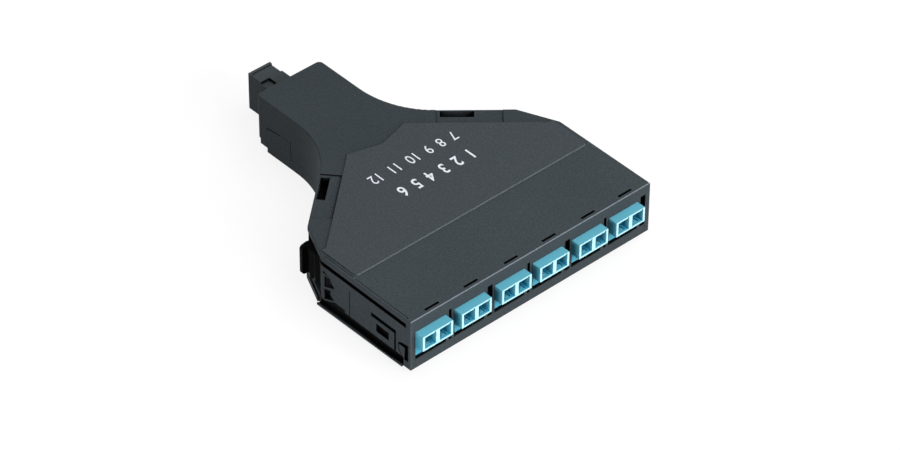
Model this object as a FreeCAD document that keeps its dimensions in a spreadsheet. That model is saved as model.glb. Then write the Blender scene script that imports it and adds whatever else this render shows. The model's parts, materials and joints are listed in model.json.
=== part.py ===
import FreeCAD, Part
import Sketcher
import math
import os

# Fibre cassette: a two-part plastic housing with six duplex fibre adapters in its front, one
# multi-fibre adapter at the end of its neck, two sprung release levers at its rear corners and
# the pre-wired pigtails inside.
# Frame: X across the front, Y from the front face to the neck, Z up, millimetres. The origin is
# in the middle of the front face's width, on the plane the cassette stands on.

Vec = FreeCAD.Vector
doc = FreeCAD.newDocument("fibre_cassette")
sheet = doc.addObject("Spreadsheet::Sheet", "Sizes")

# name, value, what it sets
SIZES = [
    ("house_w", 104.0, "width of the cover across its sides"),
    ("side_len", 42.8, "front face to the end of the straight sides"),
    ("chamfer_in", 6.5, "side face to the rear end of the chamfered corners, across"),
    ("chamfer_y", 57.3, "front face to the rear end of the chamfered corners"),
    ("neck_w", 28.0, "width of the neck"),
    ("neck_y", 84.7, "front face to where wing line and neck side would cross"),
    ("neck_end", 120.7, "front face to the rear face of the neck"),
    ("sweep_r", 33.8, "radius of the sweep from wing to neck"),
    ("neck_r", 1.8, "radius of the neck's rear corners"),
    ("corner_r", 0.8, "radius of the other upright corners"),
    ("deck_z", 21.7, "height of the cover's top face"),
    ("edge_r", 0.5, "radius of the top edges"),
    ("wall", 1.8, "wall thickness of the cover"),
    ("front_low", 1.6, "height of the front face's lower edge"),
    ("split_z", 4.0, "height of the parting line of cover and tray"),
    ("base_t", 1.4, "thickness of the tray's floor"),
    ("tray_wall", 2.6, "thickness of the tray's walls"),
    ("tray_y", 3.6, "front face to the front of the tray's underside"),
    ("base_end", 115.4, "front face to the rear end of the tray"),
    ("flange_out", 0.6, "side rails and corner ledges beyond the walls"),
    ("rail_t", 0.75, "thickness of the side rails' outer lips"),
    ("rail_web", 0.4, "thickness of the side rails behind their lips"),
    ("rail_z", 1.3, "height of the side rails' underside at the front"),
    ("rail_fall", 0.75, "fall of the side rails to their rear ends"),
    ("rail_end", 44.8, "front face to the rear ends of the side rails"),
    ("corner_h", 2.2, "height of the ledges along the chamfered corners"),
    ("corner_u", 3.5, "corner to the front end of its ledge"),
    ("foot_z", 1.8, "height of the neck's rear foot"),
    ("lip_t", 1.95, "thickness of the lip over the upper groove"),
    ("groove_t", 1.7, "height of the upper rail groove"),
    ("low_groove_t", 3.8, "height of the lower rail groove"),
    ("groove_d", 1.2, "depth of the rail grooves"),
    ("groove_y", 2.2, "front face to the start of the rail grooves"),
    ("pad_rise", 0.4, "rise of the raised label panel"),
    ("pad_y", 28.0, "front face to the label panel"),
    ("pad_edge", 1.8, "side edge to the label panel"),
    ("pad_back", 44.7, "front face to the label panel's rear shoulder"),
    ("pad_wing", 7.6, "wing edge to the label panel"),
    ("pad_tip", 72.6, "front face to the label panel's rear tip"),
    ("duo_w", 12.7, "width of a duplex adapter"),
    ("duo_top", 16.45, "height of the adapters' top faces"),
    ("duo_h", 9.55, "height of an adapter's middle"),
    ("hood_h", 5.8, "height of an adapter's hood"),
    ("proud", 3.5, "adapter beyond the front face"),
    ("ledge", 3.5, "length of the hood"),
    ("duo_len", 26.8, "length of an adapter"),
    ("duo_in", 6.35, "window's end to the centre of its first adapter, less the fit"),
    ("duo_pitch", 16.45, "pitch of two adapters that share a window"),
    ("bay_pitch", 33.65, "pitch of the windows"),
    ("port_w", 4.75, "width of a port"),
    ("port_h", 4.7, "height of a port"),
    ("port_pitch", 6.25, "pitch of an adapter's two ports"),
    ("port_top", 0.5, "port to the adapter's top face"),
    ("latch_w", 2.6, "width of the latch channel under a port"),
    ("latch_floor", 0.7, "floor under the latch channel"),
    ("rim_t", 1.0, "rim in front of the latch channel"),
    ("nick_w", 0.6, "width of the nick in a port's upper corner"),
    ("nick_h", 0.3, "height of the nick"),
    ("nick_d", 1.5, "depth of the nick"),
    ("web_t", 1.0, "thickness of the adapter's middle web"),
    ("holder_od", 2.9, "outer diameter of a sleeve holder"),
    ("holder_len", 7.6, "length of a sleeve holder"),
    ("sleeve_od", 1.6, "outer diameter of a split sleeve"),
    ("sleeve_len", 6.8, "length of a split sleeve"),
    ("sleeve_slit", 0.3, "slit of a split sleeve"),
    ("ferrule_d", 1.25, "diameter of a ferrule"),
    ("collar_t", 1.2, "thickness of the adapter's collar"),
    ("collar_out", 0.8, "collar beyond the adapter's top and underside"),
    ("fit", 0.15, "clearance round an adapter in the front face"),
    ("seam", 0.1, "clearance along the seams of the housing"),
    ("bar_t", 0.55, "width of the bars between the windows"),
    ("rib_t", 1.3, "width of the ribs beside the adapters"),
    ("comb_w", 1.1, "width of the slot between two adapters"),
    ("notch_w", 2.2, "width of the notch at the end of a window"),
    ("comb_top", 17.8, "height of the slots and notches"),
    ("sill_z", 5.1, "height of the base's front sill"),
    ("post_y", 3.4, "depth of the cover's front corner posts"),
    ("vent_w", 5.8, "length of the slots in the top"),
    ("vent_t", 0.9, "width of the slots in the top"),
    ("vent_y", 1.65, "front face to the slots in the top"),
    ("vent_shift", 1.85, "slot centre beyond the adapter's centre"),
    ("strip_w", 1.0, "width of the lowered strips along the top's side edges"),
    ("strip_d", 0.15, "depth of the lowered strips"),
    ("tongue_y", 7.9, "front face to the base's side tongue"),
    ("tongue_w", 11.0, "width of the side tongue"),
    ("tongue_z", 12.25, "height of the side tongue"),
    ("tongue_gap", 0.9, "gap in front of the side tongue"),
    ("tongue_head", 1.6, "gap over the side tongue"),
    ("catch_w", 6.0, "width of the tongue's window"),
    ("catch_z", 7.4, "height of the window's lower edge"),
    ("catch_h", 3.2, "height of the tongue's window"),
    ("catch_d", 1.2, "depth of the tongue's window"),
    ("tab_y", 103.3, "front face to the base's neck tab"),
    ("tab_z", 10.0, "height of the neck tab at its rear end"),
    ("tab_rise", 1.5, "rise of the neck tab's top towards the front"),
    ("tab_slot_y", 108.7, "front face to the wide part of the gap over the neck tab"),
    ("tab_slot", 0.35, "extra height of the wide part of that gap"),
    ("recess_d", 3.9, "depth of the lever recess"),
    ("recess_u", 2.2, "corner to the lever recess"),
    ("recess_len", 15.3, "length of the lever recess"),
    ("recess_wall", 1.6, "wall behind the lever recess"),
    ("pivot_in", 2.5, "side face to the lever pivots, across"),
    ("pivot_y", 40.0, "front face to the lever pivots"),
    ("pocket_skin", 0.6, "wall outside the hinge pocket"),
    ("pocket_w", 4.0, "width of the hinge pocket"),
    ("pocket_y", 37.8, "front face to the hinge pocket"),
    ("pocket_z", 17.5, "height of the hinge pocket"),
    ("lever_z", 5.2, "height of the lever's underside"),
    ("lever_h", 11.5, "height of the lever"),
    ("lever_t", 1.1, "thickness of the lever's arm"),
    ("lever_w", 2.3, "chamfer face to the arm's inner side"),
    ("tip_r", 1.2, "radius of the thumb tab's upper and lower corners"),
    ("barrel_d", 2.4, "diameter of the lever's barrel"),
    ("pin_d", 1.2, "diameter of the pivot pins"),
    ("pin_fit", 0.05, "radial clearance of lever on pin"),
    ("pin_sink", 0.8, "depth of the pin in base and cover"),
    ("wing_in", 0.6, "wing edge to the snap window"),
    ("snap_w", 3.1, "width of the snap window"),
    ("snap_u", 13.95, "wing corner to the snap window"),
    ("snap_len", 11.4, "length of the snap window"),
    ("dish_u", 4.3, "wing corner to the wing dish"),
    ("dish_len", 22.4, "length of the wing dish"),
    ("dish_d", 0.4, "depth of the wing dish"),
    ("hook_t", 1.5, "thickness of a snap hook"),
    ("hook_z", 17.6, "height of a snap hook"),
    ("mpo_w", 9.5, "width of the rear adapter"),
    ("mpo_z", 1.9, "height of the rear adapter's underside"),
    ("mpo_top", 16.8, "height of the rear adapter's top face"),
    ("mpo_out", 15.3, "rear adapter beyond the neck"),
    ("mpo_in", 15.7, "rear adapter inside the neck"),
    ("mpo_port_w", 7.8, "width of the rear port"),
    ("mpo_port_h", 12.6, "height of the rear port"),
    ("mpo_web", 1.0, "thickness of the rear adapter's web"),
    ("mpo_flange", 1.2, "thickness of the rear adapter's flange"),
    ("mpo_wide", 1.6, "flange beyond the rear adapter"),
    ("mpo_waist", 0.35, "depth of the waist near the rear adapter's mouth"),
    ("mpo_waist_y", 8.9, "neck's rear face to the waist"),
    ("mpo_rim", 1.1, "rim behind the waist"),
    ("mt_w", 2.5, "thickness of the multi-fibre ferrule"),
    ("mt_h", 6.4, "width of the multi-fibre ferrule"),
    ("mt_len", 8.0, "length of the multi-fibre ferrule"),
    ("mt_proud", 2.0, "multi-fibre ferrule beyond its plug"),
    ("plug_len", 20.0, "length of the inner rear plug"),
    ("plug_fit", 0.1, "clearance of a plug in its port"),
    ("boot_len", 8.0, "length of the rear plug's boot"),
    ("boot_d", 5.0, "diameter of the rear plug's boot"),
    ("trunk_d", 3.0, "diameter of the trunk tube"),
    ("lc_len", 12.0, "length of an inner plug's body"),
    ("lc_boot", 5.0, "length of an inner plug's boot"),
    ("lc_boot_d", 3.0, "diameter of an inner plug's boot"),
    ("lc_bore", 3.3, "diameter of the bore in an inner plug's nose"),
    ("lc_bore_len", 4.0, "depth of the bore in an inner plug's nose"),
    ("lc_gap", 1.2, "adapter's web to an inner plug's nose"),
    ("fibre_d", 0.9, "diameter of a buffered fibre"),
    ("fibre_pitch", 1.05, "pitch of the fibres at the fan-out"),
    ("bend_r", 12.0, "least bend radius of a fibre"),
    ("fan_y", 79.0, "front face to the fan-out block"),
    ("fan_len", 8.0, "length of the fan-out block"),
    ("fan_w", 16.0, "width of the fan-out block"),
    ("fan_h", 14.6, "height of the fan-out block"),
    ("cradle_t", 1.2, "thickness of the cradle ribs"),
]


def fmt(value):
    """A number as text, in brackets if it is negative."""
    text = ("%.6f" % value).rstrip("0").rstrip(".")
    return "(%s)" % text if value < 0 else text


class Size:
    """A length that knows both its value and the sheet expression that gives it."""

    def __init__(self, value, text):
        self.value = value
        self.text = text

    def __add__(self, other):
        o = size(other)
        return Size(self.value + o.value, "(%s + %s)" % (self.text, o.text))

    def __radd__(self, other):
        return size(other) + self

    def __sub__(self, other):
        o = size(other)
        return Size(self.value - o.value, "(%s - %s)" % (self.text, o.text))

    def __rsub__(self, other):
        return size(other) - self

    def __mul__(self, other):
        o = size(other)
        return Size(self.value * o.value, "(%s * %s)" % (self.text, o.text))

    def __rmul__(self, other):
        return size(other) * self

    def __truediv__(self, other):
        o = size(other)
        return Size(self.value / o.value, "(%s / %s)" % (self.text, o.text))

    def __rtruediv__(self, other):
        return size(other) / self

    def __neg__(self):
        return Size(-self.value, "(0 - %s)" % self.text)


def size(x):
    """Any number as a Size."""
    return x if isinstance(x, Size) else Size(float(x), fmt(float(x)))


def root(x):
    return Size(math.sqrt(x.value), "sqrt(%s)" % x.text)


def angle_of(y, x):
    """The direction of (x, y) in degrees."""
    return Size(math.degrees(math.atan2(y.value, x.value)), "atan2(%s; %s)" % (y.text, x.text))


class Sizes:
    """The sheet's named values, each as a Size."""


q = Sizes()
for row, (alias, value, note) in enumerate(SIZES, start=1):
    sheet.set("A%d" % row, alias)
    sheet.set("B%d" % row, fmt(value))
    sheet.set("C%d" % row, note)
    sheet.setAlias("B%d" % row, alias)
    setattr(q, alias, Size(value, "Sizes." + alias))
doc.recompute()


# ---------------------------------------------------------------- building blocks

def bind(obj, prop, value):
    """Set a property from a sheet expression."""
    obj.setExpression(prop, size(value).text)


def new_body(name):
    body = doc.addObject("PartDesign::Body", name + "_body")
    body.Label = name
    return body


def plane(body, role):
    return [f for f in body.Origin.OriginFeatures if f.Role == role][0]


def pin_point(sk, geo, pos, x, y):
    """Fix one point of a sketch by its distances from the sketch's origin."""
    for kind, axis, v in (("DistanceX", -2, size(x)), ("DistanceY", -1, size(y))):
        if v.text == "0":
            sk.addConstraint(Sketcher.Constraint("PointOnObject", geo, pos, axis))
        else:
            n = sk.addConstraint(Sketcher.Constraint(kind, -1, 1, geo, pos, v.value))
            sk.setExpression("Constraints[%d]" % n, v.text)


def add_ring(sk, points):
    """A closed polygon; each corner is placed by sheet expressions."""
    first = sk.GeometryCount
    pts = [(size(x), size(y)) for x, y in points]
    for i, (x, y) in enumerate(pts):
        x2, y2 = pts[(i + 1) % len(pts)]
        sk.addGeometry(Part.LineSegment(Vec(x.value, y.value, 0), Vec(x2.value, y2.value, 0)), False)
    for i in range(len(pts)):
        after = first + (i + 1) % len(pts)
        sk.addConstraint(Sketcher.Constraint("Coincident", first + i, 2, after, 1))
    for i, (x, y) in enumerate(pts):
        pin_point(sk, first + i, 1, x, y)


def add_circle(sk, x, y, radius):
    x, y, radius = size(x), size(y), size(radius)
    geo = sk.addGeometry(Part.Circle(Vec(x.value, y.value, 0), Vec(0, 0, 1), radius.value), False)
    n = sk.addConstraint(Sketcher.Constraint("Radius", geo, radius.value))
    sk.setExpression("Constraints[%d]" % n, radius.text)
    pin_point(sk, geo, 3, x, y)


def sketch(body, name, role, lift, rings=(), circles=()):
    """A sketch on one of the body's origin planes, lifted along the plane's normal."""
    sk = body.newObject("Sketcher::SketchObject", name + "_sketch")
    sk.AttachmentSupport = [(plane(body, role), "")]
    sk.MapMode = "FlatFace"
    bind(sk, "AttachmentOffset.Base.z", lift)
    for ring in rings:
        add_ring(sk, ring)
    for circle in circles:
        add_circle(sk, *circle)
    return sk


def grow(body, name, kind, role, lift, length, rings=(), circles=(), flip=False, both=False):
    """Pad or pocket a sketch. Pads go along the normal and pockets against it; flip turns them."""
    sk = sketch(body, name, role, lift, rings, circles)
    feature = body.newObject("PartDesign::" + kind, name)
    feature.Profile = sk
    feature.Refine = True
    bind(feature, "Length", length)
    feature.Reversed = flip
    if both:
        feature.SideType = "Symmetric"
    body.Tip = feature
    return feature


def pad(body, name, role, lift, length, rings=(), circles=(), flip=False, both=False):
    return grow(body, name, "Pad", role, lift, length, rings, circles, flip, both)


def cut(body, name, role, lift, depth, rings=(), circles=(), flip=False, both=False):
    return grow(body, name, "Pocket", role, lift, depth, rings, circles, flip, both)


def box_ring(x0, x1, y0, y1):
    return [(x0, y0), (x1, y0), (x1, y1), (x0, y1)]


def both_sides(x0, x1, y0, y1):
    """The same rectangle left and right of the middle, x counted outwards."""
    return [box_ring(x0, x1, y0, y1), box_ring(-x1, -x0, y0, y1)]


def mirrored(ring):
    return [(-size(x), y) for x, y in ring]


def edge_names(feature, test):
    """The names of a feature's edges that pass a test on their middle and direction."""
    names = []
    for i, edge in enumerate(feature.Shape.Edges, start=1):
        a, b = edge.FirstParameter, edge.LastParameter
        mid = edge.valueAt((a + b) / 2)
        if test(edge, mid):
            names.append("Edge%d" % i)
    return names


def upright(edge):
    """A straight edge that stands along Z."""
    if edge.Curve.TypeId != "Part::GeomLine":
        return False
    d = edge.tangentAt(edge.FirstParameter)
    return abs(abs(d.z) - 1) < 1e-6


def round_edges(body, name, base, radius, test, kind="Fillet"):
    doc.recompute()
    names = edge_names(base, test)
    if not names:
        raise ValueError("no edges for " + name)
    feature = body.newObject("PartDesign::" + kind, name)
    feature.Base = (base, names)
    bind(feature, "Radius" if kind == "Fillet" else "Size", radius)
    body.Tip = feature
    return feature


def near(point, x, y, reach=0.05):
    return math.hypot(point.x - size(x).value, point.y - size(y).value) < reach


# ---------------------------------------------------------------- plan of the housing

half = q.house_w / 2
neck = q.neck_w / 2
chamfer_x = half - q.chamfer_in
pivot_x = half - q.pivot_in
ch_dx = half - chamfer_x
ch_dy = q.chamfer_y - q.side_len
ch_len = root(ch_dx * ch_dx + ch_dy * ch_dy)
ch_nx, ch_ny = ch_dy / ch_len, ch_dx / ch_len          # outward normal of the right chamfer
wg_dx = chamfer_x - neck
wg_dy = q.neck_y - q.chamfer_y
wg_len = root(wg_dx * wg_dx + wg_dy * wg_dy)
wg_nx, wg_ny = wg_dy / wg_len, wg_dx / wg_len          # outward normal of the right wing line


def shifted(x, y, n1, n2, d):
    """A corner between two faces with outward normals n1 and n2, after both move out by d."""
    k = d / (1 + n1[0] * n2[0] + n1[1] * n2[1])
    return x + (n1[0] + n2[0]) * k, y + (n1[1] + n2[1]) * k


def half_plan(out, rear):
    """The right half of the housing's plan, moved out by a distance, from front to rear."""
    one, nil = size(1), size(0)
    c1 = shifted(half, q.side_len, (one, nil), (ch_nx, ch_ny), out)
    c2 = shifted(chamfer_x, q.chamfer_y, (ch_nx, ch_ny), (wg_nx, wg_ny), out)
    c3 = shifted(neck, q.neck_y, (wg_nx, wg_ny), (one, nil), out)
    return c1, c2, c3, (neck + out, rear)


def plan_ring(out, front, rear):
    right = [(half + out, front)] + list(half_plan(out, rear))
    return right + [(-x, y) for x, y in reversed(right)]


def on_chamfer(u, w, side):
    """A point u along the chamfer from its front corner and w outwards from its face."""
    u, w = size(u), size(w)
    x = half - ch_ny * u + ch_nx * w
    y = q.side_len + ch_nx * u + ch_ny * w
    return (x if side > 0 else -x), y


def on_wing(u, inwards, side):
    """A point u along the wing line from its front corner and a distance inwards from it."""
    u, inwards = size(u), size(inwards)
    x = chamfer_x - wg_ny * u - wg_nx * inwards
    y = q.chamfer_y + wg_nx * u - wg_ny * inwards
    return (x if side > 0 else -x), y


SIDES = (("left", -1), ("right", 1))


def round_plan(body, base, name, out, rear, neck_corners=True):
    """Round a plate's upright corners: the sweep to the neck and the small outer corners."""
    c1, c2, c3, c4 = half_plan(out, rear)
    sweep = round_edges(body, name + "_sweep", base, q.sweep_r - out,
                        lambda e, p: upright(e) and near(Vec(abs(p.x), p.y), *c3))
    small = round_edges(body, name + "_corners", sweep, q.corner_r,
                        lambda e, p: upright(e) and (near(Vec(abs(p.x), p.y), *c1)
                                                     or near(Vec(abs(p.x), p.y), *c2)))
    if not neck_corners:
        return small
    return round_edges(body, name + "_neck", small, q.neck_r,
                       lambda e, p: upright(e) and near(Vec(abs(p.x), p.y), *c4))


# ---------------------------------------------------------------- top cover

lip_z = q.deck_z - q.lip_t
groove_z = lip_z - q.groove_t
low_top = q.base_t + q.low_groove_t
duo_first = -(q.bay_pitch + q.bay_pitch / 2) + q.bar_t / 2 + q.fit * 2 + q.duo_in - q.duo_w / 2
bay_x = [duo_first + q.bay_pitch * k for k in range(3)]
duo_x = []
for bay in bay_x:
    duo_x += [bay, bay + q.duo_pitch]
duo_mid_y = q.duo_len / 2 - q.proud
port_z0 = q.duo_top - q.port_top - q.port_h
port_mid_z = port_z0 + q.port_h / 2
body_z0 = q.duo_top - q.duo_h

cover = new_body("top_cover")
block = pad(cover, "cover_block", "XY_Plane", q.split_z, q.deck_z - q.split_z,
            [plan_ring(size(0), size(0), q.neck_end)])
rounded = round_plan(cover, block, "cover", size(0), q.neck_end)
rounded = round_edges(cover, "cover_top_edges", rounded, q.edge_r,
                      lambda e, p: abs(p.z - q.deck_z.value) < 1e-6)
cavity = cut(cover, "cover_cavity", "XY_Plane", q.split_z - 1, q.deck_z - q.wall - q.split_z + 1,
             [plan_ring(-q.wall, q.wall, q.neck_end - q.wall)], flip=True)
c3_in = half_plan(-q.wall, q.neck_end)[2]
round_edges(cover, "cavity_sweep", cavity, q.sweep_r + q.wall,
            lambda e, p: upright(e) and near(Vec(abs(p.x), p.y), *c3_in))

# raised label panel, its sides parallel to the housing's and its rear edge an arc
label_edge = half - q.pad_edge
wing_shoulder = on_wing((q.pad_back - q.chamfer_y + wg_ny * q.pad_wing) / wg_nx, q.pad_wing, 1)
wing_far = on_wing(wg_len - q.pad_wing * 0.6, q.pad_wing, 1)
panel = [(label_edge, q.pad_y), (label_edge, q.pad_back), wing_shoulder, wing_far]
panel_ring = panel + [(size(0), q.pad_tip)] + [(-x, y) for x, y in reversed(panel)]
label = pad(cover, "label_panel", "XY_Plane", q.deck_z - q.pad_rise, q.pad_rise * 2, [panel_ring])
label = round_edges(cover, "label_corners", label, q.corner_r * 2,
                    lambda e, p: upright(e) and p.z > q.deck_z.value
                    and near(Vec(abs(p.x), p.y), label_edge, q.pad_y))

# solid corners that carry the lever recesses and hinge pockets
skin_in = half - q.pocket_skin
pocket_in = skin_in - q.pocket_w
deep = q.recess_d + q.recess_wall
carriers = []
for name, side in SIDES:
    s = size(side)
    carriers.append([
        (s * skin_in, q.pocket_y - q.recess_wall),
        (s * (pocket_in - q.recess_wall), q.pocket_y - q.recess_wall),
        (s * (pocket_in - q.recess_wall), q.side_len - 0.4),
        on_chamfer(ch_len, -deep, side),
        on_chamfer(ch_len, -0.5, side),
        on_chamfer(0.6, -0.5, side),
    ])
pad(cover, "lever_carriers", "XY_Plane", q.split_z, q.deck_z - q.wall / 2 - q.split_z, carriers)

# corner posts and neck end that reach down below the parting line
posts = both_sides(half - q.wall, half, size(0), q.post_y)
neck_in = neck - q.wall
pad(cover, "corner_posts", "XY_Plane", q.front_low, q.split_z + 0.2 - q.front_low, posts)
rear_foot = [
    (neck, q.base_end + q.seam), (neck, q.neck_end - q.neck_r), (neck - q.neck_r, q.neck_end),
    (-neck + q.neck_r, q.neck_end), (-neck, q.neck_end - q.neck_r), (-neck, q.base_end + q.seam),
    (-neck_in, q.base_end + q.seam), (-neck_in, q.neck_end - q.wall),
    (neck_in, q.neck_end - q.wall), (neck_in, q.base_end + q.seam),
]
pad(cover, "neck_foot", "XY_Plane", q.foot_z, q.split_z + 0.2 - q.foot_z, [rear_foot])
heel = [
    (q.neck_end - 1.2, q.foot_z - 0.1), (q.neck_end - 0.5, q.foot_z + 0.2),
    (q.neck_end - 0.1, q.foot_z + 0.7), (q.neck_end + 0.1, q.foot_z + 1.4),
    (q.neck_end + 0.1, q.foot_z - 0.1),
]
cut(cover, "neck_heel", "YZ_Plane", 0, q.neck_w + 4, [heel], both=True)

# front face: openings for the adapters, slots between them and the notch at each window's end
open_low = size(-1)
openings = []
for x in duo_x:
    openings.append(box_ring(x - q.fit, x + q.duo_w + q.fit, open_low, q.duo_top + q.fit))
for bay in bay_x:
    comb = bay + q.duo_w + (q.duo_pitch - q.duo_w) / 2
    openings.append(box_ring(comb - q.comb_w / 2, comb + q.comb_w / 2, open_low, q.comb_top))
    stop = bay + q.duo_pitch + q.duo_w + q.rib_t
    openings.append(box_ring(stop, stop + q.notch_w, open_low, q.comb_top))
cut(cover, "front_openings", "XZ_Plane", 1, q.wall + 1.0, openings)
cut(cover, "front_sill_gap", "XZ_Plane", 1, q.wall + 1.0,
    [box_ring(-(half - q.wall), half - q.wall, open_low, q.sill_z + q.seam)])

# rail grooves along both sides
upper_grooves = both_sides(half - q.groove_d, half + 1, groove_z, lip_z)
cut(cover, "upper_grooves", "XZ_Plane", -q.groove_y, q.side_len - q.groove_y + 2.0, upper_grooves)
low_edge = [
    (q.post_y, open_low), (q.post_y, low_top), (31.6, low_top), (31.6, low_top + 1.1),
    (36.2, low_top + 1.1), (q.side_len - 0.6, low_top - 1.5), (q.side_len + 1.2, low_top - 1.5),
    (q.side_len + 1.2, open_low),
]
for name, side in SIDES:
    cut(cover, "lower_groove_" + name, "YZ_Plane", half * side + side, q.groove_d + 1,
        [low_edge], flip=side < 0)

# lever recesses along the chamfers and hinge pockets behind the side panels
recesses = []
pockets = []
for name, side in SIDES:
    recesses.append([
        on_chamfer(q.recess_u, -q.recess_d, side), on_chamfer(q.recess_u, 2, side),
        on_chamfer(q.recess_u + q.recess_len, 2, side),
        on_chamfer(q.recess_u + q.recess_len, -q.recess_d, side),
    ])
    s = size(side)
    pockets.append([
        (s * pocket_in, q.pocket_y), (s * skin_in, q.pocket_y),
        (s * skin_in, q.side_len + 3.2), (s * pocket_in, q.side_len + 3.2),
    ])
cut(cover, "lever_recess", "XY_Plane", q.split_z - 1, lip_z - q.split_z + 1, recesses, flip=True)
cut(cover, "hinge_pocket", "XY_Plane", q.split_z - 1, q.pocket_z - q.split_z + 1, pockets, flip=True)
cut(cover, "pin_sockets", "XY_Plane", q.pocket_z - 0.1, q.pin_sink + 0.1,
    circles=[(-pivot_x, q.pivot_y, q.pin_d / 2), (pivot_x, q.pivot_y, q.pin_d / 2)], flip=True)

# side panels: hinge windows, notch for the base's tongue and the front catch pocket
for name, side in SIDES:
    lift = half * side + side
    flip = side < 0
    upper = [(41.5, 14.4), (38.5, 15.0), (38.5, 13.7), (36.4, 11.8), (41.5, 9.9)]
    lower = [(41.6, 9.0), (38.6, 9.9), (38.6, 8.2), (36.9, 6.6), (41.6, 4.7)]
    wedge = [(39.2, 15.1), (42.0, 16.3), (42.4, 15.4)]
    cut(cover, "hinge_windows_" + name, "YZ_Plane", lift, q.pocket_skin + 1.1,
        [upper, lower, wedge], flip=flip)
    crease = [(28.8, low_top - 0.2), (29.6, low_top - 0.2), (29.4, 15.6), (29.0, 15.6)]
    cut(cover, "side_crease_" + name, "YZ_Plane", lift, 1.15, [crease], flip=flip)
    notch = box_ring(q.tongue_y - q.tongue_gap, q.tongue_y + q.tongue_w + q.seam,
                     open_low, q.tongue_z + q.tongue_head)
    cut(cover, "tongue_notch_" + name, "YZ_Plane", lift, q.wall + 1.2, [notch], flip=flip)
    catch = [(1.2, low_top - 0.8), (1.1, 11.2), (4.5, 10.7), (5.9, 9.9), (5.9, 7.4), (3.9, low_top - 0.8)]
    hook = [(3.0, 4.7), (2.8, 9.2), (5.5, 9.4), (5.6, 7.7), (3.7, 4.7)]
    cut(cover, "front_catch_" + name, "YZ_Plane", lift, q.groove_d + 1, [catch, hook], flip=flip)

# wing dishes with their snap windows, and the slots in the top near the front edge
dishes = []
windows = []
for name, side in SIDES:
    reach = q.pad_wing + 1
    dishes.append([
        on_wing(q.dish_u, -2, side), on_wing(q.dish_u, q.pad_wing, side),
        on_wing(q.dish_u + q.dish_len, q.pad_wing, side), on_wing(q.dish_u + q.dish_len, -2, side),
    ])
    windows.append([
        on_wing(q.snap_u, q.wing_in, side), on_wing(q.snap_u, q.wing_in + q.snap_w, side),
        on_wing(q.snap_u + q.snap_len, q.wing_in + q.snap_w, side),
        on_wing(q.snap_u + q.snap_len, q.wing_in, side),
    ])
cut(cover, "wing_dishes", "XY_Plane", q.deck_z, q.dish_d, dishes)
cut(cover, "side_strips", "XY_Plane", q.deck_z, q.strip_d,
    both_sides(half - q.strip_w, half + 1, size(2), q.side_len - 0.8))
cut(cover, "snap_windows", "XY_Plane", q.deck_z + 1, q.wall + 3.5, windows)
vents = []
for x in duo_x:
    mid = x + q.duo_w / 2 + q.vent_shift
    vents.append(box_ring(mid - q.vent_w / 2, mid + q.vent_w / 2,
                          q.vent_y - q.vent_t / 2, q.vent_y + q.vent_t / 2))
cut(cover, "top_slots", "XY_Plane", q.deck_z + 1, q.wall + 2, vents)

# neck: opening for the rear adapter and notches for the base's tabs
mpo_half = q.mpo_w / 2
cut(cover, "rear_opening", "XZ_Plane", -(q.neck_end - q.wall - 1), q.wall + 3,
    [box_ring(-mpo_half, mpo_half, open_low, q.mpo_top)])
tab_fall = q.tab_rise / (q.base_end - q.tab_y)
slot_z = q.tab_z + tab_fall * (q.base_end - q.tab_slot_y) + q.seam
cut(cover, "neck_notches", "YZ_Plane", 0, q.neck_w + 4, [[
    (q.tab_y - q.seam * 3, open_low), (q.tab_y - q.seam * 3, q.tab_z + q.tab_rise + q.seam),
    (q.tab_slot_y, slot_z), (q.tab_slot_y, slot_z + q.tab_slot),
    (q.base_end + q.seam, q.tab_z + q.seam + q.tab_slot), (q.base_end + q.seam, open_low),
]], both=True)


# ---------------------------------------------------------------- base tray

base = new_body("base_tray")
tray_top = q.split_z - q.seam
tray = pad(base, "tray_block", "XY_Plane", 0, tray_top, [plan_ring(size(0), q.tray_y, q.base_end)])
round_plan(base, tray, "tray", size(0), q.base_end, neck_corners=False)
hollow = cut(base, "tray_hollow", "XY_Plane", q.base_t, q.split_z,
             [plan_ring(-q.tray_wall, q.tray_y + q.wall, q.base_end + 1)], flip=True)
hollow_c3 = half_plan(-q.tray_wall, q.base_end)[2]
round_edges(base, "hollow_sweep", hollow, q.sweep_r + q.tray_wall,
            lambda e, p: upright(e) and near(Vec(abs(p.x), p.y), *hollow_c3))
rail_x = half - q.groove_d - q.seam
cut(base, "tray_side_grooves", "XY_Plane", -1, q.split_z + 1,
    both_sides(rail_x, half + 1, q.tray_y - 1, q.side_len + 1.2), flip=True)
tail = [
    (q.base_end - q.wall, q.base_t / 2), (q.base_end, q.base_t / 2), (q.base_end, q.foot_z),
    (q.neck_end - q.wall - q.seam, q.foot_z), (q.neck_end - q.wall - q.seam, q.foot_z + q.base_t),
    (q.base_end - q.wall, q.foot_z + q.base_t),
]
pad(base, "tray_tail", "YZ_Plane", 0, (neck_in - q.seam) * 2, [tail], both=True)
sill_x = half - q.wall - q.seam
pad(base, "front_sill", "XZ_Plane", 0, q.wall,
    [box_ring(-sill_x, sill_x, q.front_low, q.sill_z)], flip=True)
pad(base, "front_shelf", "XY_Plane", q.front_low, q.base_t,
    [box_ring(-sill_x, sill_x, size(0), q.tray_y + q.wall / 2)])
cradle_front = q.wall + q.collar_t + q.seam * 4
cradle_rear = q.duo_len - q.proud - q.ledge - q.cradle_t
cradle_x = half - q.wall - q.fit
for name, y, low in (("front", cradle_front, q.front_low), ("rear", cradle_rear, size(0))):
    pad(base, "cradle_" + name, "XZ_Plane", -y, q.cradle_t,
        [box_ring(-cradle_x, cradle_x, low + q.base_t / 2, body_z0)], flip=True)
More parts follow.
